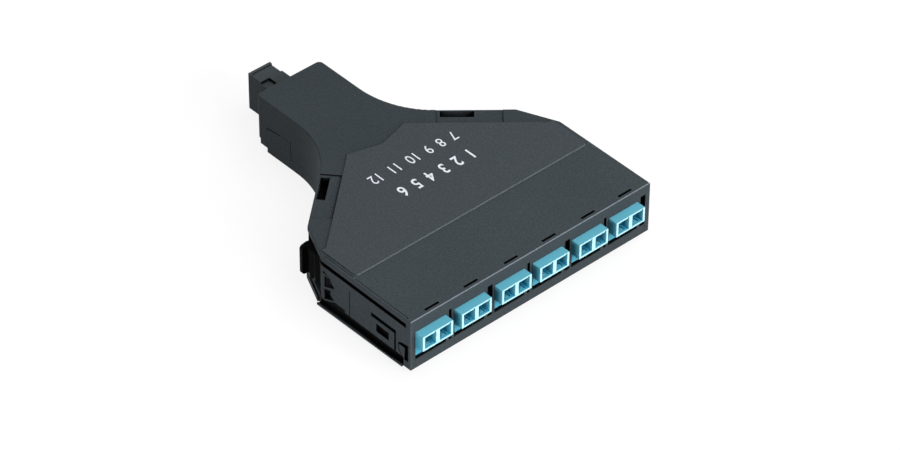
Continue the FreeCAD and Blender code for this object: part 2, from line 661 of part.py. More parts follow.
cut(base, "rear_adapter_bay", "XY_Plane", q.mpo_z - q.seam, q.split_z,
    [box_ring(-mpo_half, mpo_half, q.neck_end - q.mpo_in - q.seam, q.neck_end)], flip=True)
pad(base, "pivot_bosses", "XY_Plane", q.base_t / 2, tray_top - q.base_t / 2,
    circles=[(-pivot_x, q.pivot_y, q.barrel_d / 2), (pivot_x, q.pivot_y, q.barrel_d / 2)])

for name, side in SIDES:
    s = size(side)
    # side tongue with its window, flush with the cover's side panel
    tongue = box_ring(q.tongue_y, q.tongue_y + q.tongue_w, q.base_t / 2, q.tongue_z)
    pad(base, "tongue_" + name, "YZ_Plane", s * half, q.wall - q.seam, [tongue], flip=side > 0)
    cut(base, "tongue_groove_" + name, "XZ_Plane", -(q.tongue_y - 1), q.tongue_w + 2,
        [box_ring(s * (half - q.groove_d), s * (half + 1), open_low, low_top)])
    win_y = q.tongue_y + (q.tongue_w - q.catch_w) / 2
    cut(base, "tongue_window_" + name, "YZ_Plane", s * (half + 1), q.catch_d + 1,
        [box_ring(win_y, win_y + q.catch_w, q.catch_z, q.catch_z + q.catch_h)], flip=side < 0)
    # neck tab, flush with the neck's side
    tab = [(q.tab_y, q.base_t / 2), (q.base_end, q.base_t / 2), (q.base_end, q.tab_z),
           (q.tab_y, q.tab_z + q.tab_rise)]
    pad(base, "neck_tab_" + name, "YZ_Plane", s * neck, q.wall, [tab], flip=side > 0)
    # rail along the side, falling a little to the rear, and ledge along the corner
    for part, deep_in, thick in (("web", q.flange_out + q.groove_d + q.seam * 5, q.rail_web),
                                 ("lip", q.flange_out, q.rail_t)):
        rail = [(q.tray_y, q.rail_z), (q.rail_end, q.rail_z - q.rail_fall),
                (q.rail_end, q.rail_z - q.rail_fall + thick), (q.tray_y, q.rail_z + thick)]
        pad(base, "side_rail_%s_%s" % (part, name), "YZ_Plane", s * (half + q.flange_out),
            deep_in, [rail], flip=side > 0)
    ledge = [on_chamfer(q.corner_u, -1, side), on_chamfer(q.corner_u, q.flange_out, side),
             on_chamfer(ch_len, q.flange_out, side), on_chamfer(ch_len, -1, side)]
    pad(base, "corner_ledge_" + name, "XY_Plane", 0, q.corner_h, [ledge])
hooks = []
for name, side in SIDES:
    a, b = q.snap_u + q.seam * 3, q.snap_u + q.snap_len - q.seam * 3
    near_in = q.wall + q.seam
    hooks.append([
        on_wing(a, near_in, side), on_wing(a, near_in + q.hook_t, side),
        on_wing(b, near_in + q.hook_t, side), on_wing(b, near_in, side),
    ])
pad(base, "snap_hooks", "XY_Plane", q.base_t / 2, q.hook_z - q.base_t / 2, hooks)
cut(base, "base_pin_sockets", "XY_Plane", tray_top, q.pin_sink,
    circles=[(-pivot_x, q.pivot_y, q.pin_d / 2), (pivot_x, q.pivot_y, q.pin_d / 2)])


# ---------------------------------------------------------------- duplex adapters with their sleeves

def place(obj, x, y=0, z=0):
    """Move a finished piece to where it sits, from sheet expressions."""
    for axis, v in (("x", x), ("y", y), ("z", z)):
        if size(v).text != "0":
            bind(obj, "Placement.Base." + axis, v)


def make_adapter(name, x):
    """One duplex adapter: hooded at both ends, two ports through, a collar behind the front face."""
    body = new_body(name)
    y0, y1 = -q.proud, q.duo_len - q.proud
    hood_z = q.duo_top - q.hood_h
    profile = [
        (y0, hood_z), (y0 + q.ledge, hood_z), (y0 + q.ledge, body_z0), (y1 - q.ledge, body_z0),
        (y1 - q.ledge, hood_z), (y1, hood_z), (y1, q.duo_top), (y0, q.duo_top),
    ]
    pad(body, name + "_block", "YZ_Plane", 0, q.duo_w, [profile], both=True)
    collar_y = q.wall + q.seam
    pad(body, name + "_collar", "YZ_Plane", 0, q.duo_w, [
        box_ring(collar_y, collar_y + q.collar_t, body_z0 - q.collar_out, q.duo_top + q.collar_out)
    ], both=True)
    holes, channels, nicks = [], [], []
    for k in (-0.5, 0.5):
        c = q.port_pitch * k
        top = port_z0 + q.port_h
        w, lw = q.port_w / 2, q.latch_w / 2
        holes.append(box_ring(c - w, c + w, port_z0, top))
        channels.append(box_ring(c - lw, c + lw, body_z0 + q.latch_floor, port_z0 + 0.1))
        nicks.append(box_ring(c + w - q.nick_w, c + w, top - 0.1, top + q.nick_h))
    deep_port = q.duo_len / 2 - q.web_t / 2
    for end, y, into, back in (("front", y0, 1, False), ("rear", y1, -1, True)):
        cut(body, name + "_ports_" + end, "XZ_Plane", -y, deep_port, holes, flip=back)
        cut(body, name + "_channels_" + end, "XZ_Plane", -(y + q.rim_t * into),
            deep_port - q.rim_t, channels, flip=back)
        cut(body, name + "_nicks_" + end, "XZ_Plane", -y, q.nick_d, nicks, flip=back)
    ports = [(q.port_pitch * k, port_mid_z) for k in (-0.5, 0.5)]
    pad(body, name + "_holders", "XZ_Plane", -duo_mid_y, q.holder_len,
        circles=[(px, pz, q.holder_od / 2) for px, pz in ports], both=True)
    cut(body, name + "_bores", "XZ_Plane", -duo_mid_y, q.holder_len + 1,
        circles=[(px, pz, q.sleeve_od / 2) for px, pz in ports], both=True)
    place(body, x + q.duo_w / 2)
    return body


def make_group(name, bodies):
    group = doc.addObject("Part::Compound", name + "_group")
    group.Label = name
    group.Links = bodies
    return group


def make_sleeves(name, x):
    """The two ceramic split sleeves of one adapter."""
    pieces = []
    for k, tail in ((-0.5, "a"), (0.5, "b")):
        body = new_body(name + "_" + tail)
        r = q.sleeve_od / 2
        pad(body, name + tail + "_tube", "XZ_Plane", -duo_mid_y, q.sleeve_len,
            circles=[(0, 0, r), (0, 0, q.ferrule_d / 2)], both=True)
        cut(body, name + tail + "_slit", "XZ_Plane", -duo_mid_y, q.sleeve_len + 1,
            [box_ring(-q.sleeve_slit / 2, q.sleeve_slit / 2, size(0.2), r + 1)], both=True)
        place(body, x + q.duo_w / 2 + q.port_pitch * k, 0, port_mid_z)
        pieces.append(body)
    return make_group(name, pieces)


nose_y = duo_mid_y + q.web_t / 2 + q.lc_gap
boot_y = nose_y + q.lc_len


def make_plugs(name, x):
    """The two inner plugs of one adapter: square body, latch arm below and a tapered boot."""
    pieces = []
    for k, tail in ((-0.5, "a"), (0.5, "b")):
        body = new_body(name + "_" + tail)
        w = q.port_w / 2 - q.plug_fit
        pad(body, name + tail + "_body", "XZ_Plane", -nose_y, q.lc_len,
            [box_ring(-w, w, -(q.port_h / 2) + q.plug_fit, q.port_h / 2 - q.plug_fit)], flip=True)
        low = -(q.port_h / 2) + q.plug_fit
        arm = [
            (nose_y + 1, low + 0.2), (nose_y + 1, low - 0.4), (nose_y + 3.5, low - 1.6),
            (nose_y + 4.2, low - 1.0), (nose_y + 11.0, low - 2.4), (nose_y + 11.0, low - 1.6),
            (nose_y + 3.4, low + 0.2),
        ]
        pad(body, name + tail + "_latch", "YZ_Plane", 0, q.latch_w - q.plug_fit * 4, [arm], both=True)
        boot = body.newObject("PartDesign::AdditiveCone", name + tail + "_boot")
        boot.AttachmentSupport = [(plane(body, "XZ_Plane"), "")]
        boot.MapMode = "FlatFace"
        bind(boot, "AttachmentOffset.Base.z", -(boot_y + q.lc_boot))
        bind(boot, "Radius2", q.lc_boot_d / 2)
        bind(boot, "Radius1", q.fibre_d / 2 + 0.4)
        bind(boot, "Height", q.lc_boot)
        body.Tip = boot
        cut(body, name + tail + "_nose", "XZ_Plane", -nose_y, q.lc_bore_len,
            circles=[(0, 0, q.lc_bore / 2)])
        cut(body, name + tail + "_bore", "XZ_Plane", -(nose_y + q.lc_bore_len), q.lc_bore_len,
            circles=[(0, 0, q.ferrule_d / 2)])
        cut(body, name + tail + "_exit", "XZ_Plane", -(boot_y + q.lc_boot), 2,
            circles=[(0, 0, q.fibre_d / 2)], flip=True)
        place(body, x + q.duo_w / 2 + q.port_pitch * k, 0, port_mid_z)
        pieces.append(body)
    return make_group(name, pieces)


def make_ferrules(name, x):
    """The two ceramic ferrules of one adapter's inner plugs."""
    pieces = []
    for k, tail in ((-0.5, "a"), (0.5, "b")):
        rod = doc.addObject("Part::Cylinder", name + tail + "_rod")
        rod.Label = name + "_" + tail
        bind(rod, "Radius", q.ferrule_d / 2)
        bind(rod, "Height", nose_y + q.lc_bore_len * 2 - duo_mid_y)
        rod.Placement.Rotation = FreeCAD.Rotation(Vec(1, 0, 0), -90)
        place(rod, x + q.duo_w / 2 + q.port_pitch * k, duo_mid_y, port_mid_z)
        pieces.append(rod)
    return make_group(name, pieces)


nodes = {"top_cover": cover, "base_tray": base}
for number, x in enumerate(duo_x, start=1):
    nodes["lc_adapter_%d" % number] = make_adapter("lc_adapter_%d" % number, x)
    nodes["split_sleeves_%d" % number] = make_sleeves("split_sleeves_%d" % number, x)
    nodes["inner_plugs_%d" % number] = make_plugs("inner_plugs_%d" % number, x)
    nodes["ferrules_%d" % number] = make_ferrules("ferrules_%d" % number, x)


# ---------------------------------------------------------------- fibres, fan-out and trunk

def s_curve(x0, y0, x1, y1, r0, r1):
    """Edges of a run that leaves (x0, y0) along +Y, turns by r0, runs straight, turns back by r1
    and arrives at (x1, y1) along +Y."""
    side = 1 if x1 > x0 else -1
    dx, dy = abs(x1 - x0), y1 - y0
    # turn angle a with dx = (r0 + r1)(1 - cos a) + run sin a and dy = (r0 + r1) sin a + run cos a
    low, high = 0.0, math.radians(89)
    for step in range(60):
        a = (low + high) / 2
        run = (dy - (r0 + r1) * math.sin(a)) / math.cos(a)
        got = (r0 + r1) * (1 - math.cos(a)) + run * math.sin(a)
        if got < dx:
            low = a
        else:
            high = a
    run = (dy - (r0 + r1) * math.sin(a)) / math.cos(a)

    def at(px, py):
        return Vec(x0 + side * px, y0 + py, 0)
    p0 = at(0, 0)
    m0 = at(r0 * (1 - math.cos(a / 2)), r0 * math.sin(a / 2))
    e0 = (r0 * (1 - math.cos(a)), r0 * math.sin(a))
    e1 = (e0[0] + run * math.sin(a), e0[1] + run * math.cos(a))
    m1 = at(dx - r1 * (1 - math.cos(a / 2)), dy - r1 * math.sin(a / 2))
    return [
        Part.Arc(p0, m0, at(*e0)).toShape(),
        Part.LineSegment(at(*e0), at(*e1)).toShape(),
        Part.Arc(at(*e1), m1, at(dx, dy)).toShape(),
    ]


fibre_y = boot_y + q.lc_boot
for number, x in enumerate(duo_x, start=1):
    tubes = []
    for k, tail in ((0, "a"), (1, "b")):
        index = (number - 1) * 2 + k
        x0 = (x + q.duo_w / 2 + q.port_pitch * (k - 0.5)).value
        order = index - 5.5
        x1 = q.fibre_pitch.value * order
        inner = (5.5 - abs(order)) * q.fibre_pitch.value
        straight = Part.LineSegment(Vec(x0, fibre_y.value - 2, 0), Vec(x0, fibre_y.value + 1, 0)).toShape()
        curve = s_curve(x0, fibre_y.value + 1, x1, q.fan_y.value - 1,
                        q.bend_r.value, q.bend_r.value + inner)
        last = Part.LineSegment(Vec(x1, q.fan_y.value - 1, 0), Vec(x1, q.fan_y.value + 1, 0)).toShape()
        path = Part.Wire([straight] + curve + [last])
        ring = Part.Wire([Part.makeCircle(q.fibre_d.value / 2, Vec(x0, fibre_y.value - 2, 0), Vec(0, 1, 0))])
        tube = path.makePipeShell([ring], True, False)
        tubes.append(tube)
    name = "fibres_%d" % number
    fibre = doc.addObject("Part::Feature", name + "_tubes")
    fibre.Label = name
    fibre.Shape = Part.makeCompound(tubes)
    place(fibre, 0, 0, port_mid_z)
    nodes[name] = fibre

mpo_mid_z = (q.mpo_z + q.mpo_top) / 2
web_y = q.neck_end
plug_y = web_y - q.plug_len
mpo_boot_y = plug_y - q.boot_len
fan_end = q.fan_y + q.fan_len

fan = new_body("fanout_block")
pad(fan, "fan_block", "XY_Plane", q.base_t, q.fan_h,
    [box_ring(-q.fan_w / 2, q.fan_w / 2, q.fan_y, fan_end)])
fan_holes = [(q.fibre_pitch * (i - 5.5), port_mid_z, q.fibre_d / 2) for i in range(12)]
cut(fan, "fan_fibre_holes", "XZ_Plane", -q.fan_y, 1, circles=fan_holes)
cut(fan, "fan_trunk_hole", "XZ_Plane", -fan_end, 2, circles=[(0, mpo_mid_z, q.trunk_d / 2)], flip=True)
nodes["fanout_block"] = fan

trunk = doc.addObject("Part::Cylinder", "trunk_rod")
trunk.Label = "trunk_tube"
bind(trunk, "Radius", q.trunk_d / 2)
bind(trunk, "Height", mpo_boot_y + 2 - (fan_end - 2))
trunk.Placement.Rotation = FreeCAD.Rotation(Vec(1, 0, 0), -90)
place(trunk, 0, fan_end - 2, mpo_mid_z)
nodes["trunk_tube"] = trunk

# ---------------------------------------------------------------- rear adapter, its inner plug and ferrule

mpo = new_body("mpo_adapter")
pad(mpo, "mpo_block", "XZ_Plane", -(q.neck_end - q.mpo_in), q.mpo_in + q.mpo_out,
    [box_ring(-mpo_half, mpo_half, q.mpo_z, q.mpo_top)], flip=True)
pad(mpo, "mpo_flange_pad", "XZ_Plane", -(q.neck_end - q.wall - q.mpo_flange), q.mpo_flange,
    [box_ring(-mpo_half - q.mpo_wide, mpo_half + q.mpo_wide, q.mpo_z + 1.6, q.mpo_top)], flip=True)
port_w2, port_h2 = q.mpo_port_w / 2, q.mpo_port_h / 2
port_ring = [box_ring(-port_w2, port_w2, mpo_mid_z - port_h2, mpo_mid_z + port_h2)]
cut(mpo, "mpo_inner_port", "XZ_Plane", -(q.neck_end - q.mpo_in), q.mpo_in, port_ring)
cut(mpo, "mpo_outer_port", "XZ_Plane", -(q.neck_end + q.mpo_out), q.mpo_out - q.mpo_web, port_ring, flip=True)
cut(mpo, "mpo_web_hole", "XZ_Plane", -(q.neck_end - 1), q.mpo_web + 2, [box_ring(
    -(q.mt_w / 2 + q.plug_fit), q.mt_w / 2 + q.plug_fit,
    mpo_mid_z - q.mt_h / 2 - q.plug_fit, mpo_mid_z + q.mt_h / 2 + q.plug_fit)])
waist_y0 = q.neck_end + q.mpo_waist_y
waist_y1 = q.neck_end + q.mpo_out - q.mpo_rim
cut(mpo, "mpo_side_waist", "YZ_Plane", mpo_half + 1, q.mpo_waist + 1,
    [box_ring(waist_y0, waist_y1, q.mpo_z - 1, q.mpo_top + 1)])
cut(mpo, "mpo_top_waist", "XY_Plane", q.mpo_top, q.mpo_waist,
    [box_ring(-mpo_half + 0.5, mpo_half + 1, waist_y0, waist_y1)])
cut(mpo, "mpo_key_notch", "XY_Plane", q.mpo_top, 0.8,
    [box_ring(-mpo_half - 1, size(-1.0), q.neck_end + 4.7, q.neck_end + 8.7)])
nodes["mpo_adapter"] = mpo

plug = new_body("mpo_plug")
pw, ph = port_w2 - q.plug_fit, port_h2 - q.plug_fit
pad(plug, "mpo_plug_block", "XZ_Plane", -plug_y, q.plug_len,
    [box_ring(-pw, pw, mpo_mid_z - ph, mpo_mid_z + ph)], flip=True)
pad(plug, "mpo_plug_boot", "XZ_Plane", -mpo_boot_y, q.boot_len + 0.5,
    circles=[(0, mpo_mid_z, q.boot_d / 2)], flip=True)
cut(plug, "mpo_plug_bore", "XZ_Plane", -mpo_boot_y, 2, circles=[(0, mpo_mid_z, q.trunk_d / 2)])
mt_y0 = web_y + q.mt_proud - q.mt_len
cut(plug, "mpo_plug_seat", "XZ_Plane", -web_y, web_y - mt_y0,
    [box_ring(-q.mt_w / 2, q.mt_w / 2, mpo_mid_z - q.mt_h / 2, mpo_mid_z + q.mt_h / 2)], flip=True)
nodes["mpo_plug"] = plug

mt = new_body("mt_ferrule")
pad(mt, "mt_block", "XZ_Plane", -mt_y0, q.mt_len,
    [box_ring(-q.mt_w / 2, q.mt_w / 2, mpo_mid_z - q.mt_h / 2, mpo_mid_z + q.mt_h / 2)], flip=True)
nodes["mt_ferrule"] = mt

# ---------------------------------------------------------------- release levers and their pins

lever = new_body("release_lever_left")
arm_out, arm_in = -(q.lever_w - q.lever_t), -q.lever_w
stair = [
    (3.2, arm_out), (6.6, arm_out), (7.2, 0.2), (8.8, 0.2), (9.4, 1.3), (12.3, 1.2), (11.6, 3.2),
    (12.7, 3.7), (14.4, 0.9), (14.6, -1.7), (13.6, -2.0), (11.0, arm_in), (3.6, arm_in),
]
grip = [on_chamfer(u, w, -1) for u, w in stair]
shank = [(-(pivot_x + 0.6), q.pivot_y), (-(pivot_x + 0.6), q.side_len + 0.6),
         on_chamfer(3.2, arm_out, -1), on_chamfer(4.2, arm_in + 0.6, -1), on_chamfer(3.6, arm_in, -1),
         (-(pivot_x - 0.6), q.side_len + 0.2), (-(pivot_x - 0.6), q.pivot_y)]
handle = pad(lever, "lever_grip", "XY_Plane", q.lever_z, q.lever_h, [grip])
tip = on_chamfer(12.15, 3.45, -1)
round_edges(lever, "lever_tip", handle, q.tip_r, lambda e, p: near(p, *tip) and not upright(e))
pad(lever, "lever_shank", "XY_Plane", q.lever_z, q.lever_h, [shank])
barrel_z = q.split_z
pad(lever, "lever_barrel", "XY_Plane", barrel_z, q.pocket_z - 0.1 - barrel_z,
    circles=[(-pivot_x, q.pivot_y, q.barrel_d / 2)])
cut(lever, "lever_bore", "XY_Plane", 0, q.deck_z,
    circles=[(-pivot_x, q.pivot_y, q.pin_d / 2 + q.pin_fit)], flip=True)
nodes["release_lever_left"] = lever

lever_right = doc.addObject("Part::Mirroring", "release_lever_right_mirror")
lever_right.Label = "release_lever_right"
lever_right.Source = lever
lever_right.Normal = Vec(1, 0, 0)
lever_right.Base = Vec(0, 0, 0)
nodes["release_lever_right"] = lever_right

for name, side in SIDES:
    pin = doc.addObject("Part::Cylinder", "lever_pin_%s_rod" % name)
    pin.Label = "lever_pin_" + name
    bind(pin, "Radius", q.pin_d / 2)
    bind(pin, "Height", q.pocket_z + q.pin_sink - (tray_top - q.pin_sink))
    place(pin, pivot_x * side, q.pivot_y, tray_top - q.pin_sink)
    nodes["lever_pin_" + name] = pin

# ---------------------------------------------------------------- check and write

doc.recompute()
bad = []
for obj in doc.Objects:
    if "Invalid" in obj.State or "Error" in obj.State:
        bad.append("%s: %s" % (obj.Name, obj.State))
for obj in doc.Objects:
    if obj.TypeId == "PartDesign::Body":
        last = None
        for feature in obj.Group:
            if not feature.isDerivedFrom("PartDesign::Feature"):
                continue
            volume = feature.Shape.Volume
            if last is not None and feature.TypeId == "PartDesign::Pocket" and volume > last - 1e-6:
                bad.append("%s removes nothing" % feature.Name)
            if last is not None and feature.TypeId == "PartDesign::Pad" and volume < last + 1e-6:
                bad.append("%s adds nothing" % feature.Name)
            last = volume
for name, obj in nodes.items():
    shape = obj.Shape
    if shape.isNull() or not shape.isValid():
        bad.append(name + " has no valid shape")
    if obj.TypeId == "PartDesign::Body" and len(shape.Solids) != 1:
        bad.append("%s has %d solids" % (name, len(shape.Solids)))
if bad:
    raise RuntimeError("; ".join(bad))

os.makedirs("parts", exist_ok=True)
for name, obj in nodes.items():
    obj.Shape.exportStep(os.path.join("parts", name + ".step"))
print("%d nodes written" % len(nodes))
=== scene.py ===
import json
import logging
import math
from dataclasses import dataclass, replace
from enum import Enum, auto
from typing import Any, Dict, Optional, Tuple, Union

import bpy
from mathutils import Matrix, Vector

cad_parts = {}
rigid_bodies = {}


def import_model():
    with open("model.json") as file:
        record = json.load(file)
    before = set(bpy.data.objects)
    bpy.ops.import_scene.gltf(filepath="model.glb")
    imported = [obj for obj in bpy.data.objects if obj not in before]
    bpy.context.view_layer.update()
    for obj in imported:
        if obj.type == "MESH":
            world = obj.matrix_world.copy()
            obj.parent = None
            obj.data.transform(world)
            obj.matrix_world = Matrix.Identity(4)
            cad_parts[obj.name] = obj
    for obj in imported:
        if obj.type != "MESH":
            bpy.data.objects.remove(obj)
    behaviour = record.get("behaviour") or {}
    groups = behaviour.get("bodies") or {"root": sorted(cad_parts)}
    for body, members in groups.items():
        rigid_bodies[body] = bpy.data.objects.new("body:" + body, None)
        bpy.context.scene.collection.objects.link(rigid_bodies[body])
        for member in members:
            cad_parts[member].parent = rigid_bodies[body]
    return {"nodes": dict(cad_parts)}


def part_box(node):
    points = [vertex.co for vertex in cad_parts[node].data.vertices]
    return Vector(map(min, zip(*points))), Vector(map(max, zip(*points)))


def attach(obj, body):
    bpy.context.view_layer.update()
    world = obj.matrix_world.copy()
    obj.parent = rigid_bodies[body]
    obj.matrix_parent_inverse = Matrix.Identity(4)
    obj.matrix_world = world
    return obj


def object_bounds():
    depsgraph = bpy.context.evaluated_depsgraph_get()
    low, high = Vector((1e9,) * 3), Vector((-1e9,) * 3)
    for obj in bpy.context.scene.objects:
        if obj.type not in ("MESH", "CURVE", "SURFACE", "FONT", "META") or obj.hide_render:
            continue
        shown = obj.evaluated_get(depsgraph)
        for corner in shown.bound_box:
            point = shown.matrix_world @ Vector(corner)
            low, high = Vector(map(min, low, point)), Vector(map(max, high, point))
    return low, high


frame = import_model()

logging.basicConfig(level=logging.INFO, format="%(name)s: %(message)s")
LOG = logging.getLogger("fibre_cassette")

Colour = Tuple[float, float, float, float]
Place = Tuple[float, float, float]
Socket = bpy.types.NodeSocket

MM = 0.001
CAD_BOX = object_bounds()
NODES: Dict[str, bpy.types.Object] = frame["nodes"]

# sizes and places in mm: x across, y from the front face back, z up from the resting plane
LABEL_RISE = 0.4
LEVER_PROUD = 0.6
TOP = CAD_BOX[1][2] / MM
DECK = TOP - LABEL_RISE
UNDER_DECK = DECK - 0.04
HALF_RISE = TOP - LABEL_RISE / 2
SIDE = CAD_BOX[1][0] / MM - LEVER_PROUD
BASE = 1.6
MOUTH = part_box("lc_adapter_1")[0][1] / MM
LABEL_FRONT = 28.0
CORNER = 45.0
FAR = 200.0

# nearly all of a noise texture's values lie between these
NOISE_SPAN = {"From Min": 0.3, "From Max": 0.7}
# how far the rounded normal agrees with the face's own where an edge's painted highlight or darkening
# starts and is full
EDGE_MASK_STARTS, EDGE_MASK_FULL = 0.99, 0.85
# how open the surroundings are where the painted shade of a crevice starts and is full
SHADE_STARTS, SHADE_FULL = 0.82, 0.62
BEVEL_SAMPLES = 6
SKY_SAMPLES = 12


class Body(Enum):
    """The rigid bodies that the pieces added here ride on."""

    HOUSING = "housing"


class Finish(Enum):
    """The finishes that a piece can have."""

    COVER = auto()
    TRAY = auto()
    LEVER = auto()
    REAR_ADAPTER = auto()
    ADAPTER = auto()
    PLUG_BODY = auto()
    REAR_PLUG = auto()
    FERRULE_BLOCK = auto()
    JACKET = auto()
    ZIRCONIA = auto()
    PIN = auto()
    LEGEND = auto()


def linear(hex_colour: str) -> Colour:
    """Turn an sRGB hex colour into the linear values the shaders work in.

    Args:
        hex_colour: Six hex digits after a hash sign.

    Returns:
        Red, green, blue and an alpha of 1.
    """
    parts = []
    for start in (1, 3, 5):
        value = int(hex_colour[start:start + 2], 16) / 255
        parts.append(value / 12.92 if value <= 0.04045 else ((value + 0.055) / 1.055) ** 2.4)
    return parts[0], parts[1], parts[2], 1.0


def direction(azimuth: float, elevation: float) -> Vector:
    """Find the way from the object to a lamp or the camera.

    Args:
        azimuth: Degrees round from the front, towards the right.
        elevation: Degrees above the floor.

    Returns:
        A vector of length 1.
    """
    a, e = math.radians(azimuth), math.radians(elevation)
    return Vector((math.sin(a) * math.cos(e), -math.cos(a) * math.cos(e), math.sin(e)))


def deselect() -> None:
    """Leave nothing selected, so that the next operator works on its own piece only."""
    for other in bpy.context.view_layer.objects:
        other.select_set(False)


# ---------------------------------------------------------------- finishes

@dataclass(frozen=True)
class Region:
    """A box of the part, in mm and alike on both sides, where a plastic's colour differs: its own tone,
    painted shade or a painted highlight.
    """

    low: Place
    high: Place
    colour: str
    share: float
    soft: float = 0.1


class Graph:
    """The node tree of a material or a world while it is being built."""

    def __init__(self, holder: Union[bpy.types.Material, bpy.types.World]) -> None:
        """Empty the holder's tree.

        Args:
            holder: The new material or world.
        """
        self.holder = holder
        self.holder.use_nodes = True
        self.tree = self.holder.node_tree
        self.tree.nodes.clear()

    def add(self, kind: str, links: Optional[Dict[Any, Any]] = None, **settings: Any) -> bpy.types.Node:
        """Add one node with its settings and links.

        Args:
            kind: The node's type name without the ShaderNode prefix.
            links: Input name or number to a value or to another node's output socket.
            settings: Properties of the node itself.

        Returns:
            The new node.
        """
        node = self.tree.nodes.new("ShaderNode" + kind)
        for key, value in settings.items():
            setattr(node, key, value)
        for key, value in (links or {}).items():
            socket = node.inputs[key]
            if isinstance(value, Socket):
                self.tree.links.new(value, socket)
            else:
                socket.default_value = value
        return node

    def inside(self, place: Socket, region: Region) -> Socket:
        """Make a mask that is 1 inside a region and falls to 0 over its soft border.

        Args:
            place: The object coordinates.
            region: The region.

        Returns:
            The mask's output socket.
        """
        axes = self.add("SeparateXYZ", {"Vector": place}).outputs
        across = self.add("Math", {0: axes["X"]}, operation="ABSOLUTE").outputs["Value"]
        mask = None
        for value, low, high in zip((across, axes["Y"], axes["Z"]), region.low, region.high):
            for edge, side in ((low, 1), (high, -1)):
                ramp = self.add("MapRange", {
                    "Value": value, "From Min": (edge - side * region.soft) * MM,
                    "From Max": edge * MM}, interpolation_type="SMOOTHSTEP")
                level = ramp.outputs["Result"]
                if mask is not None:
                    product = self.add("Math", {0: mask, 1: level}, operation="MULTIPLY")
                    level = product.outputs["Value"]
                mask = level
        return mask

    def tint(self, under: Socket, place: Socket, region: Region,
             share: Union[float, Socket]) -> Socket:
        """Lay a region's colour over another colour.

        Args:
            under: The colour beneath.
            place: The object coordinates.
            region: Where the new colour goes, and which it is.
            share: How much of the new colour shows there.

        Returns:
            The mixed colour's output socket.
        """
        mask = self.add("Math", {0: self.inside(place, region), 1: share}, operation="MULTIPLY")
        mixed = self.add("Mix", {"Factor": mask.outputs["Value"], "A": under,
                                 "B": linear(region.colour)}, data_type="RGBA")
        return mixed.outputs["Result"]

    def close(self, surface: Socket) -> bpy.types.Material:
        """Link the finished shader to the material's output.

        Args:
            surface: The shader's output socket.

        Returns:
            The finished material.
        """
        self.add("OutputMaterial", {"Surface": surface})
        return self.holder


